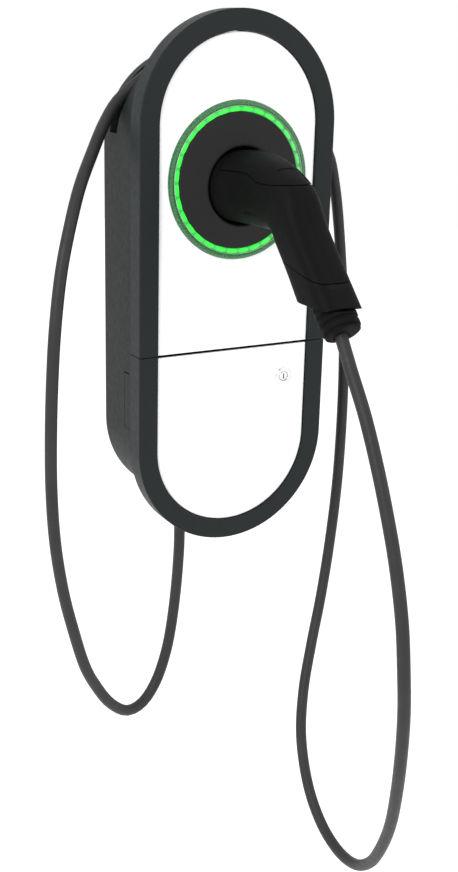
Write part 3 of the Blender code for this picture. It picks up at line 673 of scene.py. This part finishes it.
class STATION_OT_housing(bpy.types.Operator):
    """Add the rear housing with its lead groove, its side strip and the wall bracket"""
    bl_idname = "station.housing"
    bl_label = "Housing"

    def execute(self, context):
        rim = HOUSING_LOW.y
        wall = [(3.2, -3.3), (1.6, -3.7), (0.5, -4.7), (0, -6.2), (0, rim + 0.6), (0.6, rim), (2.4, rim),
                (3, rim + 0.6), (3, -41), (24, -41), (24, -6.5)]
        shell = loft([stadium(inset, y, HOUSING_WIDTH, HOUSING_HEIGHT, HOUSING_LIFT) for inset, y in wall])
        groove = []
        for step in range(61):
            angle = radians(8 + 164 * step / 60)
            corners_of_groove = [(CHANNEL_FLOOR, CHANNEL_Y[0]), (125, CHANNEL_Y[0]), (125, CHANNEL_Y[1]),
                                 (CHANNEL_FLOOR, CHANNEL_Y[1])]
            groove.append([Vector((r * cos(angle), y, TOP_CENTRE + r * sin(angle))) for r, y in corners_of_groove])
        supply = middle("supply_plug")
        cutters = [loft(groove), block(*STRIP_RECESS)]
        cutters += [block((side * 46 - 8, -8, 148), (side * 46 + 8, -1, 168)) for side in (-1, 1)]
        shell = carved(shell, rod(16.4, BOSS_BOTTOM, BOSS_BOTTOM + 33, GLAND, "Z"),
                       rod(16.4, BOSS_BOTTOM, BOSS_BOTTOM + 33, (supply.x, supply.y), "Z"), operation="UNION")
        cutters += [rod(10.3, -300, -235, GLAND, "Z"), rod(10.3, -300, -235, (supply.x, supply.y), "Z")]
        finished(carved(shell, *cutters), "station_housing", "shell_grey", ["rear_housing"], crease=30)

        strip_low, strip_high = corners("side_strip")
        finished(softened(block(strip_low, strip_high), 0.35), "service_strip", "shell_grey", ["side_strip"])

        low, high = corners("wall_bracket")
        plate = block((low.x, -2.5, low.z), (high.x, 0, high.z))
        hooks = []
        for side in (-1, 1):
            edge = side * 46
            profile = [(-1.2, 150), (-11, 150), (-11, 164), (-8.6, 164), (-8.6, 152.5), (-1.2, 152.5)]
            hooks.append(prism(profile, edge - 7, edge + 7))
        plate = carved(plate, *hooks, operation="UNION")
        holes = [rod(3.2, -6, 4, (side * 52, height)) for side in (-1, 1) for height in (-160, 172)]
        finished(softened(carved(plate, *holes), 0.3, 1), "bracket_plate", "steel", ["wall_bracket"])
        return {"FINISHED"}


def rounded_corner(inset, y, radius, steps=6):
    """Quarter-round points from the side wall to the front face of a stadium's edge."""
    return [(inset + radius * (1 - cos(pi / 2 * k / steps)), y + radius * (1 - sin(pi / 2 * k / steps)))
            for k in range(steps + 1)]


class STATION_OT_fronts(bpy.types.Operator):
    """Add the bezel and the white panels, each in an upper and a lower piece"""
    bl_idname = "station.fronts"
    bl_label = "Bezel and Panels"

    def execute(self, context):
        face = sizes().bezel_face / MM
        depth = PANEL_HIGH.y + 4
        inner = [(face - x, y) for x, y in reversed(rounded_corner(0, FRONT, 0.9, 3))]
        profile = [(0, BEZEL_REAR)] + rounded_corner(0, FRONT, sizes().bezel_round / MM)
        profile += inner + [(face, depth), (face - WALL, depth), (face - WALL, FRONT + WALL), (WALL, FRONT + WALL),
                            (WALL, BEZEL_REAR)]
        inset = WIDTH / 2 - PANEL_HIGH.x
        sheet = [(inset, PANEL_HIGH.y)] + rounded_corner(inset, PANEL_LOW.y, 0.6, 3)
        for half, body in (("upper", "root"), ("lower", "lower_cover")):
            for part, shape, joint, slot in (("bezel", profile, BEZEL_JOINT, "bezel_grey"),
                                             ("panel", sheet, PANEL_JOINT, "panel_white")):
                sections = [stadium(*spot) for spot in shape]
                low, high = (joint[1], HEIGHT) if half == "upper" else (-HEIGHT, joint[0])
                keep = block((-WIDTH, FRONT - 20, low), (WIDTH, BEZEL_REAR + 20, high))
                piece = carved(loft(sections, closed=part == "bezel"), keep, operation="INTERSECT")
                if (half, part) == ("upper", "panel"):
                    piece = carved(piece, rod(RING_R + GAP, FRONT - 9, BEZEL_REAR, (0, RING_Z), steps=144))
                if (half, part) == ("lower", "panel"):
                    piece = carved(piece, rod(8.4, FRONT - 9, BEZEL_REAR, LOCK))
                finished(piece, f"front_{part}_{half}", slot, [f"{half}_{part}"], body)
        return {"FINISHED"}


# ---------------------------------------------------------------- light ring and holster

def swirled(bm, count, height, inner, outer):
    """Push points of a spun band in and out in turn, slanting across its width, to make prisms."""
    for vert in bm.verts:
        x, z = vert.co.x, vert.co.z - RING_Z
        radius = sqrt(x * x + z * z)
        if inner < radius < outer and vert.co.y < FRONT + 4:
            turn = Vector((x, z)).angle_signed(Vector((1, 0))) / (2 * pi)
            slant = (radius - inner) / (outer - inner)
            wave = (turn * count + slant) % 1.0
            vert.co.y -= height * (1 - abs(2 * wave - 1))
    return bm


class STATION_OT_light_ring(bpy.types.Operator):
    """Add the light guide with its prisms, the thin rib painted pale grey as a highlight on the ring's front edge,
    the diffuser and the lit cells
    """
    bl_idname = "station.light_ring"
    bl_label = "Light Ring"

    def execute(self, context):
        centre = (0, RING_Z)
        outer = [(80.7, -115), (80.7, -126.6), (81.2, -127.2), (82.2, -127.3), (83.3, -127.2), (84.4, -126.9),
                 (85.4, -126.4), (86.0, -125.6), (86.0, -115)]
        count = sizes().prisms
        guide = turned(outer, centre, steps=4 * count)
        finished(swirled(guide, count, 0.55, 81.0, 85.6), "prism_guide", "light_guide", ["ring_outer"], crease=20)
        # a real thin rib whose pale finish is a painted highlight on the ring's front edge
        rib = [(79.7, -115), (79.7, -127.5), (80.05, -127.9), (80.4, -127.5), (80.4, -115)]
        finished(turned(rib, centre, steps=160), "guide_rib", "ring_line", ["ring_line"])
        base = [(74.1, -115), (74.1, -125.4), (74.6, -125.9), (78.9, -125.9), (79.4, -125.4), (79.4, -115)]
        finished(turned(base, centre, steps=160), "diffuser_ring", "led_green", ["led_ring"],
                 finish=diffuser_painted_glow())
        cells = sizes().lit_cells
        pitch = 2 * pi / cells
        shapes = []
        for cell in range(cells):
            section = []
            for step in range(9):
                angle = cell * pitch + pitch * (0.12 + 0.76 * step / 8)
                swell = 1 - (abs(step - 4) / 4) ** 6 * 0.55
                spots = [(76.8 + a * swell, y) for a, y in ((-2.3, -125.6), (-2.3, -126.5), (-1.5, -127.1),
                                                            (1.5, -127.1), (2.3, -126.5), (2.3, -125.6))]
                section.append([Vector((r * cos(angle), y, RING_Z + r * sin(angle))) for r, y in spots])
            shapes.append(loft(section))
        finished(joined(*shapes), "lit_cells", "led_green")
        return {"FINISHED"}


class STATION_OT_holster(bpy.types.Operator):
    """Add the dished disc round the connector and the cup behind it"""
    bl_idname = "station.holster"
    bl_label = "Holster"

    def execute(self, context):
        def ring(radius, y, z):
            return [Vector((radius * cos(2 * pi * k / 128), y, z + radius * sin(2 * pi * k / 128)))
                    for k in range(128)]
        face = [(DISC_R, -117, RING_Z), (DISC_R, -126.2, RING_Z), (73.2, -126.9, RING_Z), (72.2, -127.3, RING_Z)]
        for step in range(1, 9):
            share = step / 8
            face.append((72.2 - 24.6 * share, -127.3 - 7.2 * share ** 1.15, RING_Z + (117.3 - RING_Z) * share))
        face += [(46.2, -135.2, 116.7), (45.2, -135.6, 116.4), (44.0, -135.5, 116.2), (43.0, -134.9, BORE_Z),
                 (BORE_R, -134.0, BORE_Z), (BORE_R, -120, BORE_Z), (45.5, -120, BORE_Z), (45.7, -131.0, 116.4),
                 (70, -124.0, 120.2), (70.7, -117, RING_Z)]
        finished(loft([ring(*spot) for spot in face], closed=True), "dished_disc", "holster_black",
                 ["holster_disc"], crease=50)
        cup = turned([(0, -68), (24.5, -68), (24.5, -106), (BORE_R, -106), (BORE_R, -119.7), (46, -119.7),
                      (46, -103), (28, -103), (28, -64), (0, -64)], (0, BORE_Z), closed=False)
        cup = carved(cup, block((-20, -109, 136), (20, -100, 170)))
        finished(softened(cup, 0.5, 1), "nose_cup", "holster_black", ["holster_cup"])
        return {"FINISHED"}


class STATION_OT_lock(bpy.types.Operator):
    """Add the chrome cam lock in the lower cover"""
    bl_idname = "station.lock"
    bl_label = "Lock"

    def execute(self, context):
        x, z = LOCK
        body = [(5.6, -103), (5.6, -125.6), (6.0, -126.1), (6.6, -126.2), (9.3, -126.2), (10.1, -125.9),
                (10.5, -125.2), (10.5, -124.4), (8.1, -124.4), (8.1, -103)]
        finished(turned(body, LOCK), "lock_barrel_case", "chrome", ["lock_body"], "lower_cover", crease=50)
        nut = turned([(9.8, -120.9), (12.4, -120.9), (13, -120.4), (13, -117), (12.4, -116.5), (9.8, -116.5)],
                     LOCK, steps=6)
        finished(nut, "lock_nut_hex", "steel", ["lock_nut"], "lower_cover")
        plug = turned([(0, -125.9), (4.9, -125.9), (5.3, -125.5), (5.3, -101), (2.9, -101), (2.9, -94.5),
                       (0, -94.5)], LOCK, closed=False)
        slot = block((x - 0.7, -128, z - 3.2), (x + 0.7, -121, z + 3.2))
        finished(carved(plug, slot), "lock_plug_turned", "chrome", ["lock_plug"], "lock_barrel")
        return {"FINISHED"}


class STATION_OT_entries(bpy.types.Operator):
    """Add the lead's gland with its tapered strain relief, its lock nut and the blanked supply entry"""
    bl_idname = "station.entries"
    bl_label = "Cable Entries"

    def execute(self, context):
        gland_low, gland_high = corners("gland_body")
        body = [(8.3, gland_high.z), (8.3, gland_low.z), (14.6, gland_low.z), (15.5, gland_low.z + 0.8),
                (15.5, BOSS_BOTTOM - 0.7), (15.0, BOSS_BOTTOM - GAP), (10, BOSS_BOTTOM - GAP), (10, gland_high.z)]
        finished(turned(body, GLAND, "Z"), "gland_sleeve", "holster_black", ["gland_body"])
        top, bottom = corners("gland_seal")[1].z, RELIEF_BOTTOM
        ribs = 4
        relief = [(7.05, bottom), (7.05, top), (13.2, top), (13.9, top - 0.8)]
        for index in range(ribs):
            share = (index + 0.5) / ribs
            radius = 13.8 - 4.6 * share
            z = top - 1.5 - (top - bottom - 2) * share
            relief += [(radius, z + 1.2), (radius - 0.2, z - 0.6), (radius - 1.3, z - 1.1)]
        relief += [(8.6, bottom + 0.4), (8.1, bottom)]
        finished(turned(relief, GLAND, "Z", 64), "strain_relief", "rubber", ["gland_seal"])
        nut_low, nut_high = corners("gland_nut")
        nut = [(11.9, nut_low.z), (15, nut_low.z), (15.5, nut_low.z + 0.5), (15.5, nut_high.z - 0.5),
               (15, nut_high.z), (11.9, nut_high.z)]
        finished(turned(nut, GLAND, "Z", 6), "gland_lock_nut", "holster_black", ["gland_nut"])
        low, high = corners("supply_plug")
        centre = (middle("supply_plug").x, middle("supply_plug").y)
        plug = [(0, high.z), (9.4, high.z), (9.9, high.z - 0.5), (9.9, low.z + 4.7), (13.4, low.z + 4.7),
                (14, low.z + 4.1), (14, low.z + 0.8), (13.2, low.z), (0, low.z)]
        finished(turned(plug, centre, "Z", 64, closed=False), "entry_blank", "holster_black", ["supply_plug"])
        return {"FINISHED"}


# ---------------------------------------------------------------- connector

def section(y, z, tilt, half_width, half_depth, squareness=2.0, steps=72):
    """Points round a rounded-square section across the handle's path."""
    up = Vector((0, -sin(radians(tilt)), cos(radians(tilt))))
    points = []
    for step in range(steps):
        c, s = cos(2 * pi * step / steps), sin(2 * pi * step / steps)
        a = half_width * abs(c) ** (2 / squareness) * (1 if c >= 0 else -1)
        b = half_depth * abs(s) ** (2 / squareness) * (1 if s >= 0 else -1)
        points.append(Vector((a, y, z)) + up * b)
    return points


def along_boot(distance):
    """A place on the straight axis that leaves the handle's end: y, z."""
    y, z = HANDLE[-2][:2]
    return (y - distance * cos(radians(BOOT_TILT)), z - distance * sin(radians(BOOT_TILT)))


def handle_rows(per_span=5):
    """The handle's side profile with rows added between its own on a smooth curve."""
    rows = [list(row) for row in HANDLE]
    smooth = []
    for index, (a, b) in enumerate(zip(rows, rows[1:])):
        before, after = rows[max(index - 1, 0)], rows[min(index + 2, len(rows) - 1)]
        for step in range(per_span):
            t = step / per_span
            smooth.append([0.5 * (2 * q + (r - p) * t + (2 * p - 5 * q + 4 * r - s) * t * t
                                  + (3 * q - p - 3 * r + s) * t ** 3) if index > 1 else q + (r - q) * t
                           for p, q, r, s in zip(before, a, b, after)])
    return smooth + [rows[-1]]


def handle_loft(inset, first=0.0, last=0.0):
    """The head and handle as one solid, shrunk by an inset; its ends can be moved along the path."""
    rows = handle_rows()
    sections = []
    for index, (y, z, tilt, half_width, half_depth, squareness) in enumerate(rows):
        shift = first if index == 0 else (-last if index == len(rows) - 1 else 0.0)
        y, z = y - shift * cos(radians(tilt)), z - shift * sin(radians(tilt))
        sections.append(section(y, z, tilt, half_width - inset, half_depth - inset, squareness))
    return loft(sections)


def handle_hollow():
    """The space inside the handle, closed at the nose and open at the other end."""
    return handle_loft(WALL, first=WALL, last=-2 * WALL)


def cover_region(lift, front_shift=0.0):
    """The space above the joint of the top cover, raised a little to leave a gap."""
    outline = [(y - (front_shift if index == 0 else 0), z + lift) for index, (y, z) in enumerate(COVER_LINE)]
    outline += [(COVER_LINE[-1][0], 180), (COVER_LINE[0][0] - front_shift, 180)]
    return prism(outline, -45, 45)


def end_region(drop, bottom):
    """The space below the joint of the end collar, lowered a little to leave a gap."""
    (y1, z1), (y2, z2) = END_JOINT
    return prism([(y1, z1 - drop), (y2, z2 - drop), (y2, bottom), (y1, bottom)], -45, 45)


class STATION_OT_connector(bpy.types.Operator):
    """Add the connector's two shells, its top cover, thumb rest, end collar and nose"""
    bl_idname = "station.connector"
    bl_label = "Connector"

    def execute(self, context):
        gap = 0.9
        pocket_low, pocket_high = (-13.0, -245.0, 118), (13.0, -225.2, 180)
        body = carved(handle_loft(0), handle_hollow())
        cutters = [rod(22.3, -118, -100, (0, BORE_Z)), block((-5, -118, 141.3), (5, -100, 152.3)),
                   cover_region(0), block(pocket_low, pocket_high)]
        cutters += [rod(3.5, 19.6, 30, place, "X") for place in SCREWS] + [end_region(0, -40)]
        for side in (-1, 1):
            cutters.append(prism(GRIP_OUTLINE, *sorted((side * 23.6, side * 40))))
        body = carved(body, *cutters)
        for side, low, high in (("left", -50, -0.1), ("right", 0.1, 50)):
            half = carved(body.copy(), block((low, -330, 0), (high, -100, 180)), operation="INTERSECT")
            finished(half, f"grip_shell_{side}", "connector_black", [f"conn_shell_{side}"], "connector", crease=40)
        body.free()

        cover = carved(handle_loft(0), handle_hollow())
        keep = carved(cover_region(gap, gap), block(pocket_low, pocket_high))
        cover = carved(cover, keep, operation="INTERSECT")
        finished(cover, "grip_cover", "connector_black", ["conn_latch_cover"], "connector", crease=40)

        rest = carved(handle_loft(0.6), block((-12.6, -244.2, 131), (12.6, -226, 180)), operation="INTERSECT")
        lever_notch = block((-3.8, -232.4, 125), (3.8, -220, 140.3))
        finished(carved(rest, lever_notch), "thumb_rest", "connector_black", ["thumb_button"], "latch", crease=40)

        collar = carved(handle_loft(0), handle_hollow())
        collar = carved(collar, end_region(gap, COLLAR_BOTTOM), operation="INTERSECT")
        finished(softened(collar, 0.35, 1, 60), "grip_collar", "connector_black", ["conn_end_collar"], "connector")

        nose = turned([(0, -71), (21.4, -71), (22, -71.6), (22, -150), (0, -150)], (0, BORE_Z), closed=False)
        bores = [rod(3.3 if index < 3 else 2.3, -110, -60, place, steps=32)
                 for index, place in enumerate(CONTACTS)]
        finished(carved(nose, *bores), "nose_sleeve", "connector_black", ["conn_barrel"], "connector")
        return {"FINISHED"}


class STATION_OT_boot(bpy.types.Operator):
    """Add the ribbed boot where the lead leaves the connector"""
    bl_idname = "station.boot"
    bl_label = "Boot"

    def execute(self, context):
        bore = sizes().lead_diameter / MM / 2 + 0.5
        pitch = (BOOT_END - 1 - BOOT_START) / sizes().boot_ribs
        ribs = []
        for index in range(sizes().boot_ribs):
            outer, base = 21.2 - 0.3 * index, BOOT_START + pitch * index
            ribs += [(base, outer - 1.2), (base + 0.5, outer - 0.4), (base + 1.6, outer), (base + 0.6 * pitch, outer),
                     (base + 0.7 * pitch, outer - 0.6), (base + 0.76 * pitch, outer - 2.2),
                     (base + 0.96 * pitch, outer - 2.4)]
        loops = [(distance, radius, BOOT_SHIFT) for distance, radius in ribs]
        loops += [(BOOT_END - 1, 18.6, BOOT_SHIFT), (BOOT_END - 0.3, 17.4, BOOT_SHIFT), (BOOT_END, 16, 4.6),
                  (BOOT_END, bore + 1, 0), (BOOT_END - 1, bore, 0), (BOOT_START, bore, 0)]
        tilt = radians(BOOT_TILT)
        skins = []
        for distance, radius, shift in loops:
            y, z = along_boot(distance)
            skins.append(section(y - shift * sin(tilt), z + shift * cos(tilt), BOOT_TILT, radius, radius, steps=64))
        below = block((-45, -420, -90), (45, -200, COLLAR_BOTTOM - GAP))
        boot = carved(loft(skins, closed=True), below, operation="INTERSECT")
        finished(boot, "grip_boot", "rubber", ["conn_boot"], "connector", crease=50)
        return {"FINISHED"}


class STATION_OT_inner_pieces(bpy.types.Operator):
    """Give every piece that keeps its CAD shape a finish of its own"""
    bl_idname = "station.inner_pieces"
    bl_label = "Inner Pieces"

    def execute(self, context):
        for name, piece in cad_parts.items():
            if piece.hide_render:
                continue
            for spot in piece.material_slots:
                slot = spot.material.name.split(".")[0]
                spot.material = finish_of(slot)
        return {"FINISHED"}


# ---------------------------------------------------------------- add-on

class STATION_PT_panel(bpy.types.Panel):
    """Lists the station's sizes, colours and pieces"""
    bl_label = "Charging Station"
    bl_idname = "STATION_PT_panel"
    bl_space_type = "VIEW_3D"
    bl_region_type = "UI"
    bl_category = "Station"

    def draw(self, context):
        for group in (context.scene.station_sizes, context.scene.station_colours):
            box = self.layout.box()
            for name in group.bl_rna.properties.keys():
                if name not in ("rna_type", "name"):
                    box.prop(group, name)
        for operator in OPERATORS:
            self.layout.operator(operator.bl_idname)


OPERATORS = (STATION_OT_stage, STATION_OT_housing, STATION_OT_fronts, STATION_OT_light_ring, STATION_OT_holster,
             STATION_OT_lock, STATION_OT_entries, STATION_OT_connector, STATION_OT_boot, STATION_OT_lead,
             STATION_OT_inner_pieces)
CLASSES = (StationSizes, StationColours, *OPERATORS, STATION_PT_panel)


def register():
    for item in CLASSES:
        bpy.utils.register_class(item)
    bpy.types.Scene.station_sizes = bpy.props.PointerProperty(type=StationSizes)
    bpy.types.Scene.station_colours = bpy.props.PointerProperty(type=StationColours)


def unregister():
    del bpy.types.Scene.station_colours
    del bpy.types.Scene.station_sizes
    for item in reversed(CLASSES):
        bpy.utils.unregister_class(item)


def main():
    register()
    FINISHES.update(finishes())
    for operator in OPERATORS:
        group, name = operator.bl_idname.split(".")
        getattr(getattr(bpy.ops, group), name)()


if __name__ == "__main__":
    main()
